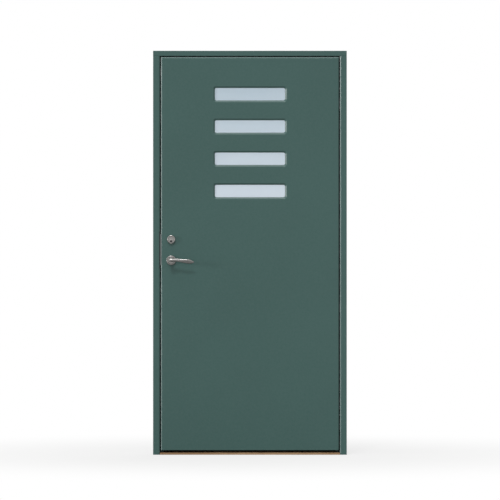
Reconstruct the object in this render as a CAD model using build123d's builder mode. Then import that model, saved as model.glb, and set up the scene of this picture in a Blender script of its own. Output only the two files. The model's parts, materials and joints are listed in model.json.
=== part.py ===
"""Entrance door in its frame, hung on concealed hinges at the right and opening outwards.

Millimetres. X runs to the right seen from outside, Y runs inwards, Z is up. The origin is on the ground,
at the middle of the frame's width and depth.
"""

import os

from build123d import *

# Frame
FRAME_WIDTH = 990.0
FRAME_HEIGHT = 2065.0
FRAME_DEPTH = 115.0
JAMB_FACE = 34.5
HEAD_FACE = 27.0
STOP_PROJECTION = 20.0
FRAME_EDGE_ROUND = 2.0
FRAME_JOINT_CHAMFER = 1.5
FRAME_BEVEL_WIDTH = 5.0
FRAME_BEVEL_DEPTH = 3.6

# Leaf and the gaps round it
SIDE_GAP = 6.0
TOP_GAP = 5.0
LEAF_BOTTOM = 24.0
LEAF_THICKNESS = 62.0
SKIN_THICKNESS = 5.0
LEAF_BEVEL_SIDE = 5.0
LEAF_BEVEL_TOP = 6.0
LEAF_BEVEL_DEPTH = 3.6
INNER_EDGE_ROUND = 3.0
STOP_GAP = 6.0
LOCK_STILE_WIDTH = 100.0
HINGE_STILE_WIDTH = 60.0
TOP_RAIL_HEIGHT = 100.0
BOTTOM_RAIL_HEIGHT = 120.0

# Threshold and seals
TREAD_NOSE = 10.5
TREAD_BACK = 11.5
TREAD_ROUND = 1.5
THRESHOLD_HEIGHT = 36.0
THRESHOLD_ROUND = 3.0
SEAL_RADIUS = 4.0
SEAL_REACH = 5.5
SEAL_INSET = 6.0
SILL_SEAL_HALF = 9.5
SILL_SEAL_CENTRE = 23.0

# Windows, a column of equal slots below the leaf's top edge
WINDOW_WIDTH = 378.0
WINDOW_HEIGHT = 83.0
WINDOW_CORNER = 14.0
WINDOW_SETBACK = 190.0
WINDOW_PITCH = 165.0
WINDOW_COUNT = 4
SIGHT_CORNER = 8.0
TRIM_LAND = 1.0
TRIM_WIDTH = 10.0
TRIM_DEPTH = 6.0
PANE_THICKNESS = 4.0
PANE_EDGE_GAP = 1.0
SPACER_DEPTH = 18.0
SPACER_WIDTH = 7.0

# Lock
BACKSET = 52.0
LEVER_HEIGHT = 994.0
FACEPLATE_ABOVE_LEVER = 55.0
FACEPLATE_HEIGHT = 160.0
FACEPLATE_DEPTH = 28.0
FACEPLATE_PROUD = 2.5
FACEPLATE_INLET = 2.5
CASE_THICKNESS = 16.0
CASE_REACH = 74.0
BOLT_WIDTH = 12.0
LATCH_HEIGHT = 30.0
LATCH_BELOW_CENTRE = 40.0
DEADBOLT_HEIGHT = 34.0
DEADBOLT_ABOVE_CENTRE = 36.0
BOLT_CLEARANCE = 0.3
STRIKE_HEIGHT = 200.0
STRIKE_DEPTH = 25.0
STRIKE_THICKNESS = 3.0
STRIKE_CORNER = 6.0
STRIKE_POCKET = 14.0
STRIKE_MARGIN = 3.0

# Cylinder outside, turn inside
CYLINDER_ABOVE_LEVER = 107.0
RING_RADIUS = 21.0
RING_PROUD = 12.0
RING_ROUND = 4.0
DISH_RADIUS = 14.0
DISH_DEPTH = 4.0
DISH_ROUND = 2.8
LOBE_RADIUS = 10.0
LOBE_DROP = 14.0
CYLINDER_RADIUS = 9.0
CYLINDER_DROP = 10.5
CYLINDER_RECESS = 0.5
CYLINDER_ROUND = 1.0
KEYHOLE_RADIUS = 6.0
KEYHOLE_DEPTH = 3.0
KEYWAY_HEIGHT = 9.0
KEYWAY_WIDTH = 2.6
KEYWAY_DEPTH = 8.0
CYLINDER_BORE_CLEARANCE = 2.0
TURN_SHAFT_RADIUS = 5.0
TURN_SHAFT_CLEARANCE = 1.0
TURN_LENGTH = 34.0
TURN_WIDTH = 14.0
TURN_PROUD = 20.0
TURN_ROUND = 3.0
TURN_RING_ROUND = 3.0

# Lever handle
ROSE_RADIUS = 24.5
ROSE_HEIGHT = 9.0
ROSE_ROUND = 4.0
ROSE_DISH_RADIUS = 17.0
ROSE_DISH_DEPTH = 4.0
ROSE_DISH_ROUND = 3.0
NECK_RADIUS = 9.5
NECK_CLEARANCE = 0.4
LEVER_STANDOFF = 46.0
SPINDLE_SIDE = 8.0
SPINDLE_SOCKET = 22.0
SPINDLE_BORE_RADIUS = 11.0
SPINDLE_CLEARANCE = 0.45

# Sections of the lever's arm: reach from the spindle, rise over it, height, depth and forward lean
LEVER_SECTIONS = {
    "heel": (-11.0, 0.5, 7.0, 8.0, 0.0),
    "elbow": (-6.0, 0.5, 15.0, 15.0, 0.0),
    "root": (10.0, 1.0, 17.0, 16.0, 5.0),
    "waist": (34.0, 0.2, 16.5, 12.5, 15.0),
    "blade": (60.0, -3.6, 20.0, 11.0, 25.0),
    "belly": (86.0, -6.2, 25.0, 10.0, 28.0),
    "shoulder": (106.0, -8.6, 17.5, 8.5, 28.0),
    "tip": (117.0, -9.0, 5.0, 4.0, 28.0),
}

# Concealed hinges
HINGE_AXIS_FORWARD = 4.0
HINGE_HOUSING_HEIGHT = 110.0
HINGE_HOUSING_WIDTH = 28.0
HINGE_HOUSING_REACH = 30.0
HINGE_HOUSING_SETBACK = 5.5
HINGE_LINK_INNER = 26.0
HINGE_LINK_OUTER = 33.0
HINGE_LINK_HEIGHT = 44.0
HINGE_LINK_START = 30.0
HINGE_LINK_CLEARANCE = 0.4
HINGE_SLOT_END = 2.0
HINGE_TOP_SETBACK = 233.0
HINGE_BOTTOM_SETBACK = 236.0

# Frame fixings, screwed through the rebate behind the leaf
FIXING_RADIUS = 5.0
FIXING_SINK_RADIUS = 9.0
FIXING_SINK_DEPTH = 8.0
FIXING_SETBACK = 49.5
FIXING_LOWEST = 150.0
FIXING_TOP_SETBACK = 205.0
FIXING_COUNT = 4

# Planes and edges that follow from the dimensions above
Y_FACE = -FRAME_DEPTH / 2
Y_BACK = FRAME_DEPTH / 2
Y_INSIDE = Y_FACE + LEAF_THICKNESS
Y_STOP = Y_INSIDE + STOP_GAP
Y_CORE_FRONT = Y_FACE + SKIN_THICKNESS
Y_CORE_BACK = Y_INSIDE - SKIN_THICKNESS
X_OUTER = FRAME_WIDTH / 2
X_REBATE = X_OUTER - JAMB_FACE
X_STOP = X_REBATE - STOP_PROJECTION
X_LEAF = X_REBATE - SIDE_GAP
X_LOCK_STILE = -X_LEAF + LOCK_STILE_WIDTH
X_HINGE_STILE = X_LEAF - HINGE_STILE_WIDTH
Z_REBATE = FRAME_HEIGHT - HEAD_FACE
Z_HEAD_STOP = Z_REBATE - STOP_PROJECTION
Z_LEAF_TOP = Z_REBATE - TOP_GAP
Z_TOP_RAIL = Z_LEAF_TOP - TOP_RAIL_HEIGHT
Z_BOTTOM_RAIL = LEAF_BOTTOM + BOTTOM_RAIL_HEIGHT

X_LOCK = -X_LEAF + BACKSET
X_CASE = -X_LEAF + FACEPLATE_INLET
X_FACEPLATE = -X_LEAF - FACEPLATE_PROUD
X_STRIKE = -X_REBATE - STRIKE_THICKNESS
Y_CASE = Y_FACE + FACEPLATE_DEPTH / 2
Y_STRIKE = Y_FACE + FRAME_EDGE_ROUND + STRIKE_DEPTH / 2
Y_HINGE = Y_FACE + HINGE_HOUSING_SETBACK + HINGE_HOUSING_WIDTH / 2
Y_RING = Y_FACE - RING_PROUD
Y_LEVER = Y_FACE - LEVER_STANDOFF
Z_FACEPLATE = LEVER_HEIGHT + FACEPLATE_ABOVE_LEVER
Z_CYLINDER = LEVER_HEIGHT + CYLINDER_ABOVE_LEVER
Z_PLUG = Z_CYLINDER - CYLINDER_DROP
HINGE_AXIS = (X_LEAF + SIDE_GAP / 2, Y_FACE - HINGE_AXIS_FORWARD)
HINGE_LINK_END = 180.0 - HINGE_LINK_START
Z_HINGE_LOWER = LEAF_BOTTOM + HINGE_BOTTOM_SETBACK
Z_HINGE_UPPER = Z_LEAF_TOP - HINGE_TOP_SETBACK
HINGE_HEIGHTS = {
    "lower": Z_HINGE_LOWER,
    "middle": (Z_HINGE_LOWER + Z_HINGE_UPPER) / 2,
    "upper": Z_HINGE_UPPER,
}

Y_OUTER_PANE = Y_FACE + TRIM_DEPTH
Y_SPACER = Y_OUTER_PANE + PANE_THICKNESS
Y_INNER_PANE = Y_SPACER + SPACER_DEPTH
Y_INNER_TRIM = Y_INNER_PANE + PANE_THICKNESS
WINDOW_CENTRES = [Z_LEAF_TOP - WINDOW_SETBACK - WINDOW_PITCH * row for row in range(WINDOW_COUNT)]
FIXING_PITCH = (FRAME_HEIGHT - FIXING_TOP_SETBACK - FIXING_LOWEST) / (FIXING_COUNT - 1)
FIXING_HEIGHTS = [FIXING_LOWEST + FIXING_PITCH * row for row in range(FIXING_COUNT)]

LEAF_MIDDLE = Plane.XZ.offset(-(Y_FACE + Y_INSIDE) / 2)
INSIDE_PLANE = Plane(origin=(0, Y_INSIDE, 0), x_dir=(-1, 0, 0), z_dir=(0, 1, 0))
CORNER = (Align.MIN, Align.MIN, Align.MIN)


def about(centre, length):
    return centre - length / 2, centre + length / 2


FULL_LEAF_X = (-X_LEAF, X_LEAF)
FULL_LEAF_Z = (LEAF_BOTTOM, Z_LEAF_TOP)
OUTER_SKIN_Y = (Y_FACE, Y_CORE_FRONT)
CORE_Y = (Y_CORE_FRONT, Y_CORE_BACK)
INNER_SKIN_Y = (Y_CORE_BACK, Y_INSIDE)
STOP_Y = (Y_STOP, Y_BACK)
CASE_X = (X_CASE, X_CASE + CASE_REACH)
CASE_Y = about(Y_CASE, CASE_THICKNESS)
FACEPLATE_Z = about(Z_FACEPLATE, FACEPLATE_HEIGHT)
BOLTS_Z = (
    about(Z_FACEPLATE - LATCH_BELOW_CENTRE, LATCH_HEIGHT),
    about(Z_FACEPLATE + DEADBOLT_ABOVE_CENTRE, DEADBOLT_HEIGHT),
)

os.makedirs("parts", exist_ok=True)


def save(node, solid):
    solid.label = node
    export_step(solid, f"parts/{node}.step")


def span(x, y, z, mode=Mode.ADD):
    with Locations((x[0], y[0], z[0])):
        return Box(x[1] - x[0], y[1] - y[0], z[1] - z[0], align=CORNER, mode=mode)


def widened(limits, margin):
    return limits[0] - margin, limits[1] + margin


def round_bar(radius, x, z, y, mode=Mode.ADD):
    with BuildSketch(Plane.XZ.offset(-y[0])) as disc:
        with Locations((x, z)):
            Circle(radius)
    return extrude(disc.sketch, amount=y[0] - y[1], mode=mode)


def window_outline(y, z, inset, corner):
    with BuildSketch(Plane.XZ.offset(-y)) as outline:
        with Locations((0, z)):
            RectangleRounded(WINDOW_WIDTH - 2 * inset, WINDOW_HEIGHT - 2 * inset, corner)
    return outline.sketch


def cut_windows(y):
    for z in WINDOW_CENTRES:
        extrude(window_outline(y[0], z, 0, WINDOW_CORNER), amount=y[0] - y[1], mode=Mode.SUBTRACT)


def arc_band(inner, outer, start, end, z):
    with BuildSketch(Plane.XY.offset(z)) as band:
        with BuildLine():
            far = CenterArc(HINGE_AXIS, outer, start, end - start)
            near = CenterArc(HINGE_AXIS, inner, start, end - start)
            Line(far @ 0, near @ 0)
            Line(far @ 1, near @ 1)
        make_face()
    return band.sketch


def hinge_outline(x, z):
    with BuildSketch(Plane.YZ.offset(x)) as outline:
        with Locations((Y_HINGE, z)):
            SlotOverall(HINGE_HOUSING_HEIGHT, HINGE_HOUSING_WIDTH, rotation=90)
    return outline.sketch


def strike_outline():
    with BuildSketch(Plane.YZ.offset(X_STRIKE)) as outline:
        with Locations((Y_STRIKE, Z_FACEPLATE)):
            RectangleRounded(STRIKE_DEPTH, STRIKE_HEIGHT, STRIKE_CORNER)
    return outline.sketch


def jamb_profile(side):
    with BuildSketch(Plane.XY) as profile:
        with BuildLine():
            Polyline(
                (side * X_OUTER, Y_FACE),
                (side * (X_REBATE + FRAME_BEVEL_WIDTH), Y_FACE),
                (side * X_REBATE, Y_FACE + FRAME_BEVEL_DEPTH),
                (side * X_REBATE, Y_STOP),
                (side * X_STOP, Y_STOP),
                (side * X_STOP, Y_BACK),
                (side * X_OUTER, Y_BACK),
                close=True,
            )
        make_face()
        outer_corner = Vector(side * X_OUTER, Y_FACE)
        fillet(profile.vertices().sort_by_distance(outer_corner)[0], FRAME_EDGE_ROUND)
    return profile.sketch


def leaf_outline(y, side_inset, top_inset):
    with BuildSketch(Plane.XZ.offset(-y)) as outline:
        with Locations((0, LEAF_BOTTOM)):
            Rectangle(
                2 * (X_LEAF - side_inset),
                Z_LEAF_TOP - LEAF_BOTTOM - top_inset,
                align=(Align.CENTER, Align.MIN),
            )
    return outline.sketch


def drill_fixings(side):
    for z in FIXING_HEIGHTS:
        seat = Plane(
            origin=(side * X_REBATE, Y_FACE + FIXING_SETBACK, z),
            x_dir=(0, 1, 0),
            z_dir=(-side, 0, 0),
        )
        with Locations(seat):
            CounterBoreHole(FIXING_RADIUS, FIXING_SINK_RADIUS, FIXING_SINK_DEPTH, depth=JAMB_FACE)


# Frame
with BuildPart() as lock_jamb:
    extrude(jamb_profile(-1), amount=Z_REBATE)
    front = lock_jamb.faces().sort_by(Axis.Z)[-1].edges().group_by(Axis.Y)[0]
    chamfer(front, FRAME_JOINT_CHAMFER)
    drill_fixings(-1)
    extrude(strike_outline(), amount=STRIKE_THICKNESS, mode=Mode.SUBTRACT)
    for bolt_z in BOLTS_Z:
        span(
            (X_STRIKE - STRIKE_POCKET, X_STRIKE),
            widened(about(Y_CASE, BOLT_WIDTH), STRIKE_MARGIN),
            widened(bolt_z, STRIKE_MARGIN),
            Mode.SUBTRACT,
        )
save("lock_jamb", lock_jamb.part)

with BuildPart() as hinge_jamb:
    extrude(jamb_profile(1), amount=Z_REBATE)
    front = hinge_jamb.faces().sort_by(Axis.Z)[-1].edges().group_by(Axis.Y)[0]
    chamfer(front, FRAME_JOINT_CHAMFER)
    drill_fixings(1)
    for z in HINGE_HEIGHTS.values():
        extrude(hinge_outline(X_REBATE, z), amount=HINGE_HOUSING_REACH, mode=Mode.SUBTRACT)
save("hinge_jamb", hinge_jamb.part)

with BuildPart() as frame_head:
    span((-X_OUTER, X_OUTER), (Y_FACE, Y_BACK), (Z_REBATE, FRAME_HEIGHT))
    span((-X_STOP, X_STOP), STOP_Y, (Z_HEAD_STOP, Z_REBATE))
    front = frame_head.edges().filter_by(Axis.X).group_by(Axis.Y)[0].sort_by(Axis.Z)
    fillet(front[-1], FRAME_EDGE_ROUND)
    chamfer(front[0], FRAME_JOINT_CHAMFER)
save("frame_head", frame_head.part)

with BuildPart() as threshold:
    with BuildSketch(Plane.YZ.offset(-X_REBATE)) as tread:
        with BuildLine():
            Polyline(
                (Y_FACE, 0),
                (Y_STOP, 0),
                (Y_STOP, TREAD_BACK),
                (Y_FACE, TREAD_NOSE),
                close=True,
            )
        make_face()
        fillet(tread.vertices().group_by(Axis.X)[0].sort_by(Axis.Y)[-1], TREAD_ROUND)
    extrude(amount=2 * X_REBATE)
    span((-X_STOP, X_STOP), STOP_Y, (0, THRESHOLD_HEIGHT))
    fillet(threshold.edges().filter_by(Axis.X).group_by(Axis.Z)[-1], THRESHOLD_ROUND)
save("threshold", threshold.part)

with BuildPart() as frame_seal:
    with BuildLine() as seal_path:
        Polyline(
            (-X_STOP - SEAL_INSET, Y_STOP, THRESHOLD_HEIGHT),
            (-X_STOP - SEAL_INSET, Y_STOP, Z_HEAD_STOP + SEAL_INSET),
            (X_STOP + SEAL_INSET, Y_STOP, Z_HEAD_STOP + SEAL_INSET),
            (X_STOP + SEAL_INSET, Y_STOP, THRESHOLD_HEIGHT),
        )
    with BuildSketch(Plane.XY.offset(THRESHOLD_HEIGHT)):
        with Locations((-X_STOP - SEAL_INSET, Y_STOP)):
            Ellipse(SEAL_RADIUS, SEAL_REACH)
            Rectangle(
                2 * SEAL_RADIUS,
                SEAL_REACH,
                align=(Align.CENTER, Align.MIN),
                mode=Mode.SUBTRACT,
            )
    sweep(path=seal_path.line, transition=Transition.RIGHT)
save("frame_seal", frame_seal.part)

with BuildPart() as threshold_seal:
    with BuildSketch(Plane.YZ.offset(-X_STOP)):
        with Locations((Y_STOP, SILL_SEAL_CENTRE)):
            Ellipse(SEAL_REACH, SILL_SEAL_HALF)
            Rectangle(
                SEAL_REACH,
                2 * SILL_SEAL_HALF,
                align=(Align.MIN, Align.CENTER),
                mode=Mode.SUBTRACT,
            )
    extrude(amount=2 * X_STOP)
save("threshold_seal", threshold_seal.part)

with BuildPart() as strike_plate:
    extrude(strike_outline(), amount=STRIKE_THICKNESS)
    for bolt_z in BOLTS_Z:
        span(
            (X_STRIKE, -X_REBATE),
            widened(about(Y_CASE, BOLT_WIDTH), STRIKE_MARGIN),
            widened(bolt_z, STRIKE_MARGIN),
            Mode.SUBTRACT,
        )
save("strike_plate", strike_plate.part)

# Concealed hinges: a housing in the jamb, a housing in the leaf and a curved link that slides in both
for place, z in HINGE_HEIGHTS.items():
    slot = arc_band(
        HINGE_LINK_INNER - HINGE_LINK_CLEARANCE,
        HINGE_LINK_OUTER + HINGE_LINK_CLEARANCE,
        HINGE_LINK_START - HINGE_SLOT_END,
        HINGE_LINK_END + HINGE_SLOT_END,
        z - HINGE_LINK_HEIGHT / 2 - HINGE_LINK_CLEARANCE,
    )
    slot_height = HINGE_LINK_HEIGHT + 2 * HINGE_LINK_CLEARANCE

    with BuildPart() as frame_hinge:
        extrude(hinge_outline(X_REBATE, z), amount=HINGE_HOUSING_REACH)
        extrude(slot, amount=slot_height, mode=Mode.SUBTRACT)
    save(f"frame_hinge_{place}", frame_hinge.part)

    with BuildPart() as leaf_hinge:
        extrude(hinge_outline(X_LEAF, z), amount=-HINGE_HOUSING_REACH)
        extrude(slot, amount=slot_height, mode=Mode.SUBTRACT)
    save(f"leaf_hinge_{place}", leaf_hinge.part)

    with BuildPart() as hinge_link:
        link = arc_band(
            HINGE_LINK_INNER,
            HINGE_LINK_OUTER,
            HINGE_LINK_START,
            HINGE_LINK_END,
            z - HINGE_LINK_HEIGHT / 2,
        )
        extrude(link, amount=HINGE_LINK_HEIGHT)
    save(f"hinge_link_{place}", hinge_link.part)

# Leaf
with BuildPart() as outer_skin:
    bevel_y = Y_FACE + LEAF_BEVEL_DEPTH
    span(FULL_LEAF_X, (bevel_y, Y_CORE_FRONT), FULL_LEAF_Z)
    loft([leaf_outline(bevel_y, 0, 0), leaf_outline(Y_FACE, LEAF_BEVEL_SIDE, LEAF_BEVEL_TOP)])
    cut_windows(OUTER_SKIN_Y)
    round_bar(SPINDLE_BORE_RADIUS, X_LOCK, LEVER_HEIGHT, OUTER_SKIN_Y, Mode.SUBTRACT)
    round_bar(
        CYLINDER_RADIUS + CYLINDER_BORE_CLEARANCE, X_LOCK, Z_PLUG, OUTER_SKIN_Y, Mode.SUBTRACT
    )
    span((-X_LEAF, X_CASE), OUTER_SKIN_Y, FACEPLATE_Z, Mode.SUBTRACT)
save("outer_skin", outer_skin.part)

with BuildPart() as inner_skin:
    span(FULL_LEAF_X, INNER_SKIN_Y, FULL_LEAF_Z)
    fillet(inner_skin.faces().sort_by(Axis.Y)[-1].edges(), INNER_EDGE_ROUND)
    cut_windows(INNER_SKIN_Y)
    round_bar(SPINDLE_BORE_RADIUS, X_LOCK, LEVER_HEIGHT, INNER_SKIN_Y, Mode.SUBTRACT)
    round_bar(
        TURN_SHAFT_RADIUS + TURN_SHAFT_CLEARANCE, X_LOCK, Z_PLUG, INNER_SKIN_Y, Mode.SUBTRACT
    )
save("inner_skin", inner_skin.part)

with BuildPart() as lock_stile:
    span((-X_LEAF, X_LOCK_STILE), CORE_Y, FULL_LEAF_Z)
    span((-X_LEAF, X_CASE), (Y_CORE_FRONT, Y_FACE + FACEPLATE_DEPTH), FACEPLATE_Z, Mode.SUBTRACT)
    span(CASE_X, CASE_Y, FACEPLATE_Z, Mode.SUBTRACT)
    round_bar(SPINDLE_BORE_RADIUS, X_LOCK, LEVER_HEIGHT, CORE_Y, Mode.SUBTRACT)
    round_bar(
        CYLINDER_RADIUS + CYLINDER_BORE_CLEARANCE,
        X_LOCK,
        Z_PLUG,
        (Y_CORE_FRONT, Y_CASE),
        Mode.SUBTRACT,
    )
    round_bar(
        TURN_SHAFT_RADIUS + TURN_SHAFT_CLEARANCE,
        X_LOCK,
        Z_PLUG,
        (Y_CASE, Y_CORE_BACK),
        Mode.SUBTRACT,
    )
save("lock_stile", lock_stile.part)

with BuildPart() as hinge_stile:
    span((X_HINGE_STILE, X_LEAF), CORE_Y, FULL_LEAF_Z)
    for z in HINGE_HEIGHTS.values():
        extrude(hinge_outline(X_LEAF, z), amount=-HINGE_HOUSING_REACH, mode=Mode.SUBTRACT)
save("hinge_stile", hinge_stile.part)

with BuildPart() as top_rail:
    span((X_LOCK_STILE, X_HINGE_STILE), CORE_Y, (Z_TOP_RAIL, Z_LEAF_TOP))
save("top_rail", top_rail.part)

with BuildPart() as bottom_rail:
    span((X_LOCK_STILE, X_HINGE_STILE), CORE_Y, (LEAF_BOTTOM, Z_BOTTOM_RAIL))
save("bottom_rail", bottom_rail.part)

with BuildPart() as insulation_core:
    span((X_LOCK_STILE, X_HINGE_STILE), CORE_Y, (Z_BOTTOM_RAIL, Z_TOP_RAIL))
    cut_windows(CORE_Y)
save("insulation_core", insulation_core.part)

# Windows, numbered from the top: a bevelled trim on each side of a sealed unit of two panes
for number, z in enumerate(WINDOW_CENTRES, start=1):
    with BuildPart() as outer_trim:
        extrude(window_outline(Y_FACE, z, 0, WINDOW_CORNER), amount=-TRIM_DEPTH)
        loft(
            [
                window_outline(Y_FACE, z, TRIM_LAND, WINDOW_CORNER - TRIM_LAND),
                window_outline(Y_OUTER_PANE, z, TRIM_WIDTH, SIGHT_CORNER),
            ],
            mode=Mode.SUBTRACT,
        )
    save(f"outer_trim_{number}", outer_trim.part)

    with BuildPart() as window:
        for y in (Y_OUTER_PANE, Y_INNER_PANE):
            pane = window_outline(y, z, PANE_EDGE_GAP, WINDOW_CORNER - PANE_EDGE_GAP)
            extrude(pane, amount=-PANE_THICKNESS)
    save(f"window_{number}", window.part)

    with BuildPart() as inner_trim:
        rim = window_outline(Y_INNER_TRIM, z, 0, WINDOW_CORNER)
        extrude(rim, amount=Y_INNER_TRIM - Y_INSIDE)
        loft(
            [
                window_outline(Y_INNER_TRIM, z, TRIM_WIDTH, SIGHT_CORNER),
                window_outline(Y_INSIDE, z, TRIM_LAND, WINDOW_CORNER - TRIM_LAND),
            ],
            mode=Mode.SUBTRACT,
        )
    save(f"inner_trim_{number}", inner_trim.part)

with BuildPart() as window_spacers:
    for z in WINDOW_CENTRES:
        rim = window_outline(Y_SPACER, z, PANE_EDGE_GAP, WINDOW_CORNER - PANE_EDGE_GAP)
        sight = window_outline(Y_SPACER, z, PANE_EDGE_GAP + SPACER_WIDTH, SIGHT_CORNER)
        extrude(rim, amount=-SPACER_DEPTH)
        extrude(sight, amount=-SPACER_DEPTH, mode=Mode.SUBTRACT)
save("window_spacers", window_spacers.part)

# Lock
with BuildPart() as lock_case:
    span(CASE_X, CASE_Y, FACEPLATE_Z)
    follower = SPINDLE_SIDE / 2 * 2**0.5 + SPINDLE_CLEARANCE
    round_bar(follower, X_LOCK, LEVER_HEIGHT, CASE_Y, Mode.SUBTRACT)
save("lock_case", lock_case.part)

with BuildPart() as lock_faceplate:
    span((X_FACEPLATE, X_CASE), (Y_FACE, Y_FACE + FACEPLATE_DEPTH), FACEPLATE_Z)
    for bolt_z in BOLTS_Z:
        span(
            (X_FACEPLATE, X_CASE),
            widened(about(Y_CASE, BOLT_WIDTH), BOLT_CLEARANCE),
            widened(bolt_z, BOLT_CLEARANCE),
            Mode.SUBTRACT,
        )
save("lock_faceplate", lock_faceplate.part)

with BuildPart() as lock_bolts:
    for bolt_z in BOLTS_Z:
        span((X_FACEPLATE, X_CASE), about(Y_CASE, BOLT_WIDTH), bolt_z)
save("lock_bolts", lock_bolts.part)

with BuildPart() as cylinder_ring:
    with BuildSketch(Plane.XZ.offset(-Y_FACE)):
        with Locations((X_LOCK, Z_CYLINDER)):
            Circle(RING_RADIUS)
        with Locations((X_LOCK, Z_CYLINDER - LOBE_DROP)):
            Circle(LOBE_RADIUS)
    extrude(amount=RING_PROUD)
    fillet(cylinder_ring.faces().sort_by(Axis.Y)[0].edges(), RING_ROUND)
    round_bar(DISH_RADIUS, X_LOCK, Z_CYLINDER, (Y_RING, Y_RING + DISH_DEPTH), Mode.SUBTRACT)
    rim_edges = cylinder_ring.edges().group_by(Axis.Y)[0]
    fillet(rim_edges.filter_by(lambda edge: edge.is_closed), DISH_ROUND)
    round_bar(CYLINDER_RADIUS, X_LOCK, Z_PLUG, (Y_RING, Y_FACE), Mode.SUBTRACT)
save("cylinder_ring", cylinder_ring.part)

with BuildPart() as lock_cylinder:
    front = Y_RING + CYLINDER_RECESS
    round_bar(CYLINDER_RADIUS, X_LOCK, Z_PLUG, (front, CASE_Y[0]))
    fillet(lock_cylinder.faces().sort_by(Axis.Y)[0].edges(), CYLINDER_ROUND)
    round_bar(KEYHOLE_RADIUS, X_LOCK, Z_PLUG, (front, front + KEYHOLE_DEPTH), Mode.SUBTRACT)
    span(
        about(X_LOCK, KEYWAY_WIDTH),
        (front, front + KEYWAY_DEPTH),
        about(Z_PLUG, KEYWAY_HEIGHT),
        Mode.SUBTRACT,
    )
save("lock_cylinder", lock_cylinder.part)

with BuildPart() as turn_ring:
    ring_y = (Y_INSIDE, Y_INSIDE + ROSE_HEIGHT)
    round_bar(RING_RADIUS, X_LOCK, Z_PLUG, ring_y)
    fillet(turn_ring.faces().sort_by(Axis.Y)[-1].edges(), TURN_RING_ROUND)
    round_bar(TURN_SHAFT_RADIUS + TURN_SHAFT_CLEARANCE, X_LOCK, Z_PLUG, ring_y, Mode.SUBTRACT)
save("turn_ring", turn_ring.part)

with BuildPart() as inside_turn:
    round_bar(TURN_SHAFT_RADIUS, X_LOCK, Z_PLUG, (CASE_Y[1], Y_INSIDE + ROSE_HEIGHT))
    with BuildSketch(INSIDE_PLANE.offset(ROSE_HEIGHT)):
        with Locations((-X_LOCK, Z_PLUG)):
            SlotOverall(TURN_LENGTH, TURN_WIDTH, rotation=90)
    extrude(amount=TURN_PROUD)
    fillet(inside_turn.faces().sort_by(Axis.Y)[-1].edges(), TURN_ROUND)
save("inside_turn", inside_turn.part)

# Handle
with BuildPart() as outer_rose:
    rose_y = (Y_FACE - ROSE_HEIGHT, Y_FACE)
    round_bar(ROSE_RADIUS, X_LOCK, LEVER_HEIGHT, rose_y)
    fillet(outer_rose.faces().sort_by(Axis.Y)[0].edges(), ROSE_ROUND)
    dish_y = (rose_y[0], rose_y[0] + ROSE_DISH_DEPTH)
    round_bar(ROSE_DISH_RADIUS, X_LOCK, LEVER_HEIGHT, dish_y, Mode.SUBTRACT)
    rim_edges = outer_rose.edges().filter_by(GeomType.CIRCLE).group_by(Axis.Y)[0]
    fillet(rim_edges.sort_by(SortBy.RADIUS)[0], ROSE_DISH_ROUND)
    round_bar(NECK_RADIUS + NECK_CLEARANCE, X_LOCK, LEVER_HEIGHT, rose_y, Mode.SUBTRACT)
save("outer_rose", outer_rose.part)

with BuildPart() as inner_rose:
    mirror(outer_rose.part, about=LEAF_MIDDLE)
save("inner_rose", inner_rose.part)

with BuildPart() as outer_lever:
    for along, rise, height, depth, lean in LEVER_SECTIONS.values():
        section = Plane(
            origin=(X_LOCK + along, Y_LEVER, LEVER_HEIGHT + rise),
            x_dir=(0, 1, 0),
            z_dir=(1, 0, 0),
        )
        with BuildSketch(section):
            Ellipse(depth / 2, height / 2, rotation=lean)
    loft()
    round_bar(NECK_RADIUS, X_LOCK, LEVER_HEIGHT, (Y_LEVER, Y_FACE))
    span(
        about(X_LOCK, SPINDLE_SIDE),
        (Y_FACE - SPINDLE_SOCKET, Y_FACE),
        about(LEVER_HEIGHT, SPINDLE_SIDE),
        Mode.SUBTRACT,
    )
save("outer_lever", outer_lever.part)

with BuildPart() as inner_lever:
    mirror(outer_lever.part, about=LEAF_MIDDLE)
save("inner_lever", inner_lever.part)

with BuildPart() as spindle:
    span(
        about(X_LOCK, SPINDLE_SIDE),
        (Y_FACE - SPINDLE_SOCKET, Y_INSIDE + SPINDLE_SOCKET),
        about(LEVER_HEIGHT, SPINDLE_SIDE),
    )
save("spindle", spindle.part)
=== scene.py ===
import json
import math

import bmesh
import bpy
from mathutils import Matrix, Vector


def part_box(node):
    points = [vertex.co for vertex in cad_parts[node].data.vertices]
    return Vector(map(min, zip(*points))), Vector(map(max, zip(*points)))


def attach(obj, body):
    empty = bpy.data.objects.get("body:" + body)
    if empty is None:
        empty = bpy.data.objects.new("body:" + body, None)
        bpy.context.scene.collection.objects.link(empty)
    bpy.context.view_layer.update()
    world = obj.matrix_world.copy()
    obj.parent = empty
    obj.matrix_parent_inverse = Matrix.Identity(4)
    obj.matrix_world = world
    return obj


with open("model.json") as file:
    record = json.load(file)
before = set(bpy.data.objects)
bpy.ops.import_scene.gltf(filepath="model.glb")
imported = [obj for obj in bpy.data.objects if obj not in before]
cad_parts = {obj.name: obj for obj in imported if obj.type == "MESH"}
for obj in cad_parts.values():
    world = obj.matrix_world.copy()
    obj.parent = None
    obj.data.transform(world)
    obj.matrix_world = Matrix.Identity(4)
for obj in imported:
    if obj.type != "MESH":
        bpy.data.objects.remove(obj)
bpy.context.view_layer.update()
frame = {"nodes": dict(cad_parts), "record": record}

scene = bpy.context.scene
X, Y, Z = range(3)
MM_IN_METRE = 1000.0

# The photograph's view, square on to the door's face; lens and sensor in millimetres, the rest in metres
VIEW_WIDTH = 2.5555
VIEW_CENTRE = (0.0004, 1.0465)
FACE_Y = -0.0575
SENSOR = 36.0
LENS = 300.0
CLIP_END = 200.0

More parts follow.
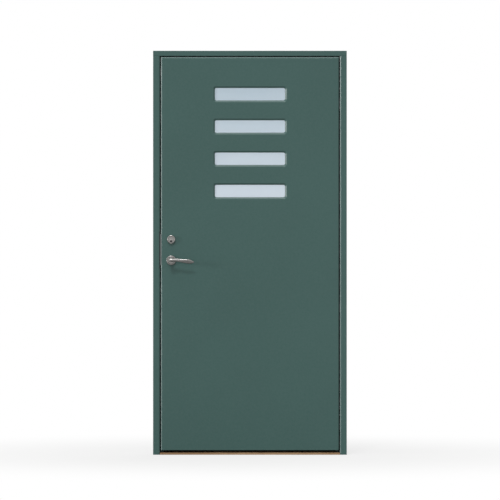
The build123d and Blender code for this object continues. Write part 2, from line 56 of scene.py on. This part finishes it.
# Suns: the way to the light, its strength and its breadth in degrees
SUNS = {
    "key": ((-0.135, -0.640, 0.756), 1.25, 9.0),
    "side": ((-0.945, -0.309, 0.110), 1.42, 12.0),
    "sky": ((-0.150, -0.320, 0.935), 0.88, 30.0),
    "fill": ((0.350, 0.750, 0.560), 1.20, 60.0),
}
ROOM_STRENGTH = 0.53
WHITE_STRENGTH = 1.0

# The floor: its size, how white the camera sees it near the door and far off, and where it mirrors as white
FLOOR_HALF = 40.0
FLOOR_DROP = 0.0002
FLOOR_FADE = (0.5, 2.6)
FLOOR_WHITENESS = (0.76, 1.0)
FLOOR_HORIZON = (2.5, 6.0)

# Colours, linear
WHITE = (1.0, 1.0, 1.0)
FLOOR_DARK = (0.39, 0.39, 0.386)
FLOOR_LIGHT = (0.43, 0.43, 0.426)
GREEN = (0.0402, 0.0914, 0.0827)
# Lighter green for random speckle and for rubbed edges; on the edges it is partly wear and partly a painted
# highlight
GREEN_WORN_AND_HIGHLIGHT = (0.120, 0.175, 0.165)
PRIMER = (0.36, 0.36, 0.34)
OAK_LIGHT = (0.400, 0.262, 0.145)
OAK_DARK = (0.170, 0.092, 0.040)
OAK_PORE = (0.075, 0.040, 0.018)
OAK_WORN = (0.52, 0.38, 0.25)
# Painted shade: the dark brown the oak turns under the leaf
OAK_UNDER_LEAF_SHADE = (0.045, 0.026, 0.012)
RUBBER_BLACK = (0.0085, 0.0085, 0.009)
RUBBER_GREY = (0.015, 0.015, 0.0145)
RUBBER_DUST = (0.06, 0.058, 0.054)
# Glass colours at the low and high windows: the lower glass lighter, a painted reflection
GLASS_LOW = (0.692, 0.778, 0.858)
GLASS_HIGH = (0.512, 0.624, 0.710)
GLASS_CLOUD = (0.80, 0.86, 0.91)
FOAM_DARK = (0.50, 0.48, 0.40)
FOAM_LIGHT = (0.68, 0.66, 0.58)
ALUMINIUM = (0.36, 0.37, 0.38)
ALUMINIUM_WORN = (0.5, 0.5, 0.5)
NICKEL = (0.27, 0.267, 0.260)
NICKEL_WORN = (0.45, 0.445, 0.43)
# Steel with a green cast: a painted reflection of the green paint round the lock's edge
STEEL_WITH_GREEN_REFLECTION = (0.195, 0.226, 0.223)
STEEL_WORN = (0.30, 0.31, 0.31)
# Black zinc: the finish of the hinges and dark screws, and the same black stands as painted shade on the
# strike and in the keyhole
BLACK_ZINC_AND_SHADE = (0.045, 0.046, 0.050)
ZINC_WORN = (0.16, 0.16, 0.165)

# How closely grain and brush marks lie along X, Y and Z, and how deep the painted grain looks
UPRIGHT_GRAIN = (170.0, 170.0, 5.0)
LEVEL_GRAIN = (5.0, 170.0, 170.0)
BOARD_GRAIN = (34.0, 34.0, 30.0)
TIMBER_RELIEF = 0.22
BOARD_RELIEF = 0.09
OAK_RINGS = (1.6, 46.0, 46.0)
OAK_FIBRES = (9.0, 420.0, 420.0)
OAK_PORES = (26.0, 900.0, 900.0)
SPACER_BRUSH = (12.0, 400.0, 400.0)
NICKEL_BRUSH = (260.0, 260.0, 900.0)
STEEL_BRUSH = (900.0, 900.0, 14.0)
ZINC_BRUSH = (420.0, 420.0, 420.0)

# Where the painted shade under the leaf sets in and ends on the oak, and the heights between which the
# glass darkens upwards, a painted reflection
SHADE_FRONT = (-0.0568, -0.0535)
SHADE_BACK = (0.006, 0.012)
GLASS_HEIGHTS = (1.30, 1.90)

# Screws and covers: how far screws lie from the middle of their plate, and how deep covers sit
STRIKE_SCREW_REACH = 0.088
FACEPLATE_SCREW_REACH = 0.070
HINGE_SCREW_REACH = 0.040
KEYHOLE_DEPTH = 0.003
FIXING_SEAT = 0.0265
SCREW_SEGMENTS = 48
COVER_SEGMENTS = 40
SOCKET_LOBES = 6

# Profiles from the seat to the middle, as rings of radius, height and depth of the socket's lobes
SCREW = [
    (0.0040, -0.0004, 0.0),
    (0.0044, 0.0002, 0.0),
    (0.0043, 0.0007, 0.0),
    (0.0036, 0.0011, 0.0),
    (0.0021, 0.0012, 0.0003),
    (0.0019, 0.0011, 0.0003),
    (0.0018, 0.0003, 0.0003),
]
CAP = [
    (0.0084, 0.0, 0.0),
    (0.0086, 0.0058, 0.0),
    (0.0083, 0.0064, 0.0),
    (0.0068, 0.0070, 0.0),
    (0.0060, 0.0067, 0.0),
    (0.0052, 0.0070, 0.0),
    (0.0026, 0.0073, 0.0),
]
# The keyhole's dark disc, painted shade standing for the shade inside the keyway
KEYHOLE_SHADE_PROFILE = [
    (0.0057, -0.0002, 0.0),
    (0.0059, 0.0010, 0.0),
    (0.0056, 0.0014, 0.0),
    (0.0034, 0.0014, 0.0),
    (0.0030, 0.0010, 0.0),
    (0.0026, 0.0003, 0.0),
]


# Node helpers
def feed(tree, socket, value):
    """Link the socket to another node's, or set it to a constant."""
    if isinstance(value, bpy.types.NodeSocket):
        tree.links.new(value, socket)
    elif socket.type == "RGBA" and len(value) == 3:
        socket.default_value = (*value, 1.0)
    else:
        socket.default_value = value


def feed_all(tree, node, **inputs):
    for key, value in inputs.items():
        feed(tree, node.inputs[key.replace("_", " ")], value)


def make(tree, kind, settings=None, **inputs):
    made = tree.nodes.new(kind)
    for key, value in (settings or {}).items():
        setattr(made, key, value)
    feed_all(tree, made, **inputs)
    return made


def blank(name):
    material = bpy.data.materials.new(name)
    material.use_nodes = True
    return material, material.node_tree, material.node_tree.nodes["Principled BSDF"]


def place(tree, stretch=(1, 1, 1)):
    coords = make(tree, "ShaderNodeTexCoord")
    mapping = make(tree, "ShaderNodeMapping", Vector=coords.outputs["Object"], Scale=stretch)
    return mapping.outputs["Vector"]


def along(tree, axis):
    return make(tree, "ShaderNodeSeparateXYZ", Vector=place(tree)).outputs[axis]


def noise(tree, scale=1.0, stretch=(1, 1, 1), detail=3.0, roughness=0.5, distortion=0.0):
    return make(
        tree,
        "ShaderNodeTexNoise",
        Vector=place(tree, stretch),
        Scale=scale,
        Detail=detail,
        Roughness=roughness,
        Distortion=distortion,
    ).outputs[0]


def remap(tree, value, source, target=(0.0, 1.0), smooth=False):
    return make(
        tree,
        "ShaderNodeMapRange",
        {"interpolation_type": "SMOOTHSTEP" if smooth else "LINEAR"},
        Value=value,
        From_Min=source[0],
        From_Max=source[1],
        To_Min=target[0],
        To_Max=target[1],
    ).outputs["Result"]


def maths(tree, operation, first, second):
    """The result is clamped to the range from 0 to 1."""
    made = make(tree, "ShaderNodeMath", {"operation": operation, "use_clamp": True})
    feed(tree, made.inputs[0], first)
    feed(tree, made.inputs[1], second)
    return made.outputs[0]


def blend(tree, factor, first, second):
    """A Mix node's colour sockets are inputs 6 and 7 and output 2."""
    made = make(tree, "ShaderNodeMix", {"data_type": "RGBA"})
    feed(tree, made.inputs[0], factor)
    feed(tree, made.inputs[6], first)
    feed(tree, made.inputs[7], second)
    return made.outputs[2]


def edges(tree, radius, sharpest):
    """0 on a flat face, up to 1 on an edge, from how far a bevel would turn the normal."""
    bevel = make(tree, "ShaderNodeBevel", {"samples": 6}, Radius=radius)
    true = make(tree, "ShaderNodeNewGeometry")
    dot = make(tree, "ShaderNodeVectorMath", {"operation": "DOT_PRODUCT"})
    feed(tree, dot.inputs[0], bevel.outputs["Normal"])
    feed(tree, dot.inputs[1], true.outputs["Normal"])
    return remap(tree, dot.outputs["Value"], (1.0, sharpest))


# Edges in noise patches: wear on oak and rubber; on the paint, wear together with a painted highlight
def edge_patches(tree, radius, sharpest, patches):
    return maths(tree, "MULTIPLY", edges(tree, radius, sharpest), patches)


def relief(tree, height, strength, distance, normal=None):
    bump = make(tree, "ShaderNodeBump", Height=height, Strength=strength, Distance=distance)
    if normal is not None:
        feed(tree, bump.inputs["Normal"], normal)
    return bump.outputs["Normal"]


def shade(colour, factor):
    return tuple(factor * channel for channel in colour)


# Materials
def painted(name, grain, grain_relief):
    material, tree, shader = blank(name)
    cloud = remap(tree, noise(tree, scale=1.8, detail=4.0), (0.35, 0.65))
    tone = blend(tree, cloud, shade(GREEN, 0.965), shade(GREEN, 1.035))
    speckle = remap(tree, noise(tree, scale=90.0, detail=2.0), (0.3, 0.8), (0.0, 0.10))
    tone = blend(tree, speckle, tone, GREEN_WORN_AND_HIGHLIGHT)
    # Rubbed edges: lighter paint along every edge, partly wear and partly a painted highlight on the edge
    # lines
    patches = remap(tree, noise(tree, scale=24.0, detail=5.0), (0.35, 0.72), (0.06, 0.20))
    rubbed_and_highlight = edge_patches(tree, radius=0.0022, sharpest=0.90, patches=patches)
    tone = blend(tree, rubbed_and_highlight, tone, GREEN_WORN_AND_HIGHLIGHT)
    flakes = remap(tree, noise(tree, scale=110.0, detail=4.0), (0.70, 0.74), (0.0, 0.20))
    chipped = edge_patches(tree, radius=0.0011, sharpest=0.93, patches=flakes)
    streaks = noise(tree, scale=6.0, detail=4.0)
    fibres = noise(tree, stretch=grain, detail=5.0, roughness=0.6)
    peel = noise(tree, scale=420.0, detail=2.0)
    grained = relief(tree, fibres, strength=grain_relief, distance=0.0006)
    feed_all(
        tree,
        shader,
        Base_Color=blend(tree, chipped, tone, PRIMER),
        Roughness=remap(tree, streaks, (0.3, 0.7), (0.29, 0.37)),
        Specular_IOR_Level=0.3,
        Normal=relief(tree, peel, strength=0.20, distance=0.0003, normal=grained),
    )
    return material


def oiled_oak():
    material, tree, shader = blank("oiled_oak")
    rings = noise(tree, stretch=OAK_RINGS, detail=6.0, roughness=0.62, distortion=0.9)
    fibres = noise(tree, stretch=OAK_FIBRES, detail=3.0, roughness=0.6)
    pores = noise(tree, stretch=OAK_PORES, detail=2.0, roughness=0.5)
    tone = blend(tree, remap(tree, rings, (0.32, 0.68)), OAK_DARK, OAK_LIGHT)
    tone = blend(tree, remap(tree, fibres, (0.35, 0.75), (0.0, 0.45)), tone, OAK_DARK)
    tone = blend(tree, remap(tree, pores, (0.60, 0.66), (0.0, 0.55)), tone, OAK_PORE)
    patches = remap(tree, rings, (0.3, 0.7), (0.05, 0.30))
    worn = edge_patches(tree, radius=0.002, sharpest=0.88, patches=patches)
    tone = blend(tree, worn, tone, OAK_WORN)
    # Painted shade: the oak darkens under the leaf, where the leaf's shadow falls, a little less on the
    # light rings
    depth = along(tree, "Y")
    under_leaf = maths(
        tree,
        "MULTIPLY",
        remap(tree, depth, SHADE_FRONT, (0.0, 0.85)),
        remap(tree, depth, SHADE_BACK, (1.0, 0.0)),
    )
    painted_shade = maths(tree, "MULTIPLY", under_leaf, remap(tree, rings, (0.2, 0.8), (1.0, 0.8)))
    grained = relief(tree, fibres, strength=0.35, distance=0.0006)
    feed_all(
        tree,
        shader,
        Base_Color=blend(tree, painted_shade, tone, OAK_UNDER_LEAF_SHADE),
        Roughness=remap(tree, fibres, (0.3, 0.8), (0.48, 0.66)),
        Specular_IOR_Level=0.3,
        Normal=relief(tree, pores, strength=0.25, distance=0.0003, normal=grained),
    )
    return material


def rubber():
    material, tree, shader = blank("black_rubber")
    patches = remap(tree, noise(tree, scale=40.0, detail=4.0), (0.4, 0.7), (0.0, 0.5))
    dusty = edge_patches(tree, radius=0.0012, sharpest=0.88, patches=patches)
    cloud = remap(tree, noise(tree, scale=14.0), (0.3, 0.7))
    tone = blend(tree, cloud, RUBBER_BLACK, RUBBER_GREY)
    feed_all(
        tree,
        shader,
        Base_Color=blend(tree, dusty, tone, RUBBER_DUST),
        Roughness=remap(tree, noise(tree, scale=60.0), (0.3, 0.7), (0.52, 0.68)),
        Specular_IOR_Level=0.3,
        Normal=relief(tree, noise(tree, scale=900.0), strength=0.2, distance=0.0002),
    )
    return material


def satin_glass():
    material, tree, shader = blank("satin_glass")
    # Painted reflection: the glass's tint lightens towards the bottom of the door
    height = remap(tree, along(tree, "Z"), GLASS_HEIGHTS)
    tint_and_painted_reflection = blend(tree, height, GLASS_LOW, GLASS_HIGH)
    cloud = remap(tree, noise(tree, scale=7.0), (0.3, 0.7), (0.0, 0.10))
    feed_all(
        tree,
        shader,
        Base_Color=blend(tree, cloud, tint_and_painted_reflection, GLASS_CLOUD),
        Roughness=remap(tree, noise(tree, scale=30.0), (0.3, 0.7), (0.40, 0.50)),
        Transmission_Weight=0.2,
        Coat_Weight=0.3,
        Coat_Roughness=0.05,
        Specular_IOR_Level=0.35,
        Normal=relief(tree, noise(tree, scale=1400.0), strength=0.12, distance=0.0001),
    )
    return material


def metal(name, colour, worn, brush, roughness):
    material, tree, shader = blank(name)
    lines = noise(tree, stretch=brush, detail=3.0, roughness=0.6)
    haze = remap(tree, noise(tree, scale=55.0, detail=4.0), (0.3, 0.7))
    tone = blend(tree, haze, shade(colour, 0.93), shade(colour, 1.05))
    rim = edges(tree, radius=0.0012, sharpest=0.86)
    satin = remap(tree, lines, (0.3, 0.7), (roughness - 0.05, roughness + 0.07))
    polish = maths(tree, "MULTIPLY", rim, 0.07)
    feed_all(
        tree,
        shader,
        Base_Color=blend(tree, maths(tree, "MULTIPLY", rim, 0.6), tone, worn),
        Metallic=1.0,
        Roughness=maths(tree, "SUBTRACT", satin, polish),
        Normal=relief(tree, lines, strength=0.12, distance=0.0002),
    )
    return material


def foam():
    material, tree, shader = blank("foam_core")
    cells = make(tree, "ShaderNodeTexVoronoi", Vector=place(tree), Scale=520.0).outputs["Distance"]
    feed_all(
        tree,
        shader,
        Base_Color=blend(tree, remap(tree, cells, (0.0, 0.7)), FOAM_DARK, FOAM_LIGHT),
        Roughness=remap(tree, cells, (0.0, 0.7), (0.95, 0.80)),
        Normal=relief(tree, cells, strength=0.5, distance=0.0006),
    )
    return material


def make_finishes():
    return {
        "jamb_paint": painted("jamb_paint", UPRIGHT_GRAIN, TIMBER_RELIEF),
        "head_paint": painted("head_paint", LEVEL_GRAIN, TIMBER_RELIEF),
        "leaf_paint": painted("leaf_paint", BOARD_GRAIN, BOARD_RELIEF),
        "oak": oiled_oak(),
        "seal": rubber(),
        "satin_glass": satin_glass(),
        "spacer": metal("mill_aluminium", ALUMINIUM, ALUMINIUM_WORN, SPACER_BRUSH, roughness=0.36),
        "nickel": metal("satin_nickel", NICKEL, NICKEL_WORN, NICKEL_BRUSH, roughness=0.30),
        "steel": metal("brushed_steel_green_reflection", STEEL_WITH_GREEN_REFLECTION, STEEL_WORN, STEEL_BRUSH, roughness=0.33),
        "hinge_zinc": metal("black_zinc_and_shade", BLACK_ZINC_AND_SHADE, ZINC_WORN, ZINC_BRUSH, roughness=0.38),
        "core": foam(),
    }


def dress_nodes(finishes):
    slots = {row["node"]: row["material_slot"] for row in frame["record"]["subparts"]}
    for name, piece in frame["nodes"].items():
        slot = slots[name]
        if slot == "frame_paint":
            slot = "head_paint" if name == "frame_head" else "jamb_paint"
        piece.data.materials.clear()
        piece.data.materials.append(finishes[slot])


# Screws and covers
def lathe(name, rings, segments, material):
    """Turn rings about Z; lobes make the star of the driver's socket."""
    bm = bmesh.new()
    loops = []
    for radius, height, lobe in rings:
        loop = []
        for step in range(segments):
            angle = 2 * math.pi * step / segments
            reach = radius + lobe * math.cos(SOCKET_LOBES * angle)
            loop.append(bm.verts.new((reach * math.cos(angle), reach * math.sin(angle), height)))
        loops.append(loop)
    for low, high in zip(loops, loops[1:]):
        for step in range(segments):
            after = (step + 1) % segments
            bm.faces.new((low[step], low[after], high[after], high[step]))
    bm.faces.new(loops[-1])
    bm.faces.new(list(reversed(loops[0])))
    bmesh.ops.recalc_face_normals(bm, faces=bm.faces)
    mesh = bpy.data.meshes.new(name)
    bm.to_mesh(mesh)
    bm.free()
    for face in mesh.polygons:
        face.use_smooth = True
    mesh.materials.append(material)
    return mesh


def aim(axis):
    return Vector((0, 0, 1)).rotation_difference(Vector(axis)).to_matrix().to_4x4()


def fit(mesh, name, spot, axis, body):
    own = mesh.copy()
    own.transform(Matrix.Translation(spot) @ aim(axis))
    piece = bpy.data.objects.new(name, own)
    scene.collection.objects.link(piece)
    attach(piece, body)


def middle(box, axis):
    low, high = box
    return (low[axis] + high[axis]) / 2


def screw_lock(screw, dark_screw):
    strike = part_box("strike_plate")
    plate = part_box("lock_faceplate")
    height = middle(strike, Z)
    for mark, side in (("lower", -1), ("upper", 1)):
        spot = (strike[1][X], middle(strike, Y), height + side * STRIKE_SCREW_REACH)
        fit(dark_screw, f"strike_screw_{mark}", spot, (1, 0, 0), "frame")
        spot = (plate[0][X], middle(plate, Y), height + side * FACEPLATE_SCREW_REACH)
        fit(screw, f"faceplate_screw_{mark}", spot, (-1, 0, 0), "leaf")


# A dark disc set in the keyhole: painted shade in place of the shade inside the keyway
def shade_keyhole(keyhole_shade):
    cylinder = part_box("lock_cylinder")
    spot = (middle(cylinder, X), cylinder[0][Y] + KEYHOLE_DEPTH, middle(cylinder, Z))
    fit(keyhole_shade, "keyhole_shade_disc", spot, (0, -1, 0), "leaf")


def screw_hinges(dark_screw):
    for level in ("lower", "middle", "upper"):
        for body, end, outward in (("frame", 0, -1), ("leaf", 1, 1)):
            node = f"{body}_hinge_{level}"
            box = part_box(node)
            for mark, side in (("low", -1), ("high", 1)):
                spot = (box[end][X], middle(box, Y), middle(box, Z) + side * HINGE_SCREW_REACH)
                fit(dark_screw, f"{node}_screw_{mark}", spot, (outward, 0, 0), body)


def fixing_ends(jamb):
    """The ends of a jamb's fixings on its outside face, from the lowest up."""
    ends = []
    for mount in frame["record"]["mounts"]:
        if mount["name"].startswith(f"{jamb}_fixings"):
            x, y, z = mount["pos_m"]
            reach = mount["dims"]["spacing_y_mm"] / MM_IN_METRE / 2
            ends += [(x, y, z - reach), (x, y, z + reach)]
    return sorted(ends, key=lambda end: end[Z])


def cap_fixings(cap):
    for side, jamb in ((-1, "lock_jamb"), (1, "hinge_jamb")):
        for count, (x, y, z) in enumerate(fixing_ends(jamb), start=1):
            spot = (x - side * FIXING_SEAT, y, z)
            fit(cap, f"{jamb}_cap_{count}", spot, (-side, 0, 0), "frame")


def add_fasteners(finishes):
    screw = lathe("screw", SCREW, SCREW_SEGMENTS, finishes["steel"])
    dark_screw = lathe("dark_screw", SCREW, SCREW_SEGMENTS, finishes["hinge_zinc"])
    keyhole_shade = lathe("keyhole_shade", KEYHOLE_SHADE_PROFILE, COVER_SEGMENTS, finishes["hinge_zinc"])
    cap = lathe("cap", CAP, COVER_SEGMENTS, finishes["jamb_paint"])
    screw_lock(screw, dark_screw)
    shade_keyhole(keyhole_shade)
    screw_hinges(dark_screw)
    cap_fixings(cap)


# Floor, light and camera
def pale_floor():
    """White to the camera and in mirrors far off, and with the door's shadow near it."""
    material = bpy.data.materials.new("pale_floor")
    material.use_nodes = True
    tree = material.node_tree
    tree.nodes.clear()
    speck = remap(tree, noise(tree, scale=8.0, detail=5.0), (0.3, 0.7))
    matt = make(tree, "ShaderNodeBsdfDiffuse", Color=blend(tree, speck, FLOOR_DARK, FLOOR_LIGHT))
    glow = make(tree, "ShaderNodeEmission", Color=WHITE, Strength=WHITE_STRENGTH)
    path = make(tree, "ShaderNodeLightPath")
    mirrored = maths(tree, "ADD", path.outputs["Is Glossy Ray"], path.outputs["Is Transmission Ray"])
    reach = make(tree, "ShaderNodeVectorMath", {"operation": "LENGTH"})
    feed(tree, reach.inputs[0], make(tree, "ShaderNodeNewGeometry").outputs["Position"])
    whiteness = remap(tree, reach.outputs["Value"], FLOOR_FADE, FLOOR_WHITENESS, smooth=True)
    horizon = remap(tree, reach.outputs["Value"], FLOOR_HORIZON)
    share = maths(
        tree,
        "ADD",
        maths(tree, "MULTIPLY", path.outputs["Is Camera Ray"], whiteness),
        maths(tree, "MULTIPLY", mirrored, horizon),
    )
    mixed = make(tree, "ShaderNodeMixShader", Fac=share)
    tree.links.new(matt.outputs[0], mixed.inputs[1])
    tree.links.new(glow.outputs[0], mixed.inputs[2])
    make(tree, "ShaderNodeOutputMaterial", Surface=mixed.outputs[0])
    return material


def lay_floor():
    mesh = bpy.data.meshes.new("floor")
    corners = [(-1, -1), (1, -1), (1, 1), (-1, 1)]
    mesh.from_pydata(
        [(x * FLOOR_HALF, y * FLOOR_HALF, -FLOOR_DROP) for x, y in corners], [], [(0, 1, 2, 3)]
    )
    mesh.materials.append(pale_floor())
    floor = bpy.data.objects.new("floor", mesh)
    scene.collection.objects.link(floor)


def soft_sun(name, source, strength, breadth):
    lamp = bpy.data.lights.new(name, "SUN")
    lamp.energy = strength
    lamp.angle = math.radians(breadth)
    lit = bpy.data.objects.new(name, lamp)
    lit.rotation_euler = Vector(source).to_track_quat("Z", "Y").to_euler()
    scene.collection.objects.link(lit)


def light_room():
    world = bpy.data.worlds.new("studio")
    scene.world = world
    world.use_nodes = True
    tree = world.node_tree
    path = make(tree, "ShaderNodeLightPath")
    seen = maths(tree, "ADD", path.outputs["Is Camera Ray"], path.outputs["Is Glossy Ray"])
    seen = maths(tree, "ADD", seen, path.outputs["Is Transmission Ray"])
    strength = remap(tree, seen, (0.0, 1.0), (ROOM_STRENGTH, WHITE_STRENGTH))
    feed_all(tree, tree.nodes["Background"], Color=WHITE, Strength=strength)
    for name, (source, energy, breadth) in SUNS.items():
        soft_sun(name, source, energy, breadth)


def set_camera():
    data = bpy.data.cameras.new("camera")
    data.lens = LENS
    data.sensor_width = SENSOR
    data.clip_end = CLIP_END
    camera = bpy.data.objects.new("camera", data)
    distance = VIEW_WIDTH * LENS / SENSOR
    camera.location = (VIEW_CENTRE[0], FACE_Y - distance, VIEW_CENTRE[1])
    camera.rotation_euler = (math.pi / 2, 0.0, 0.0)
    scene.collection.objects.link(camera)
    scene.camera = camera


made_finishes = make_finishes()
dress_nodes(made_finishes)
add_fasteners(made_finishes)
lay_floor()
light_room()
set_camera()
scene.view_settings.view_transform = "Standard"
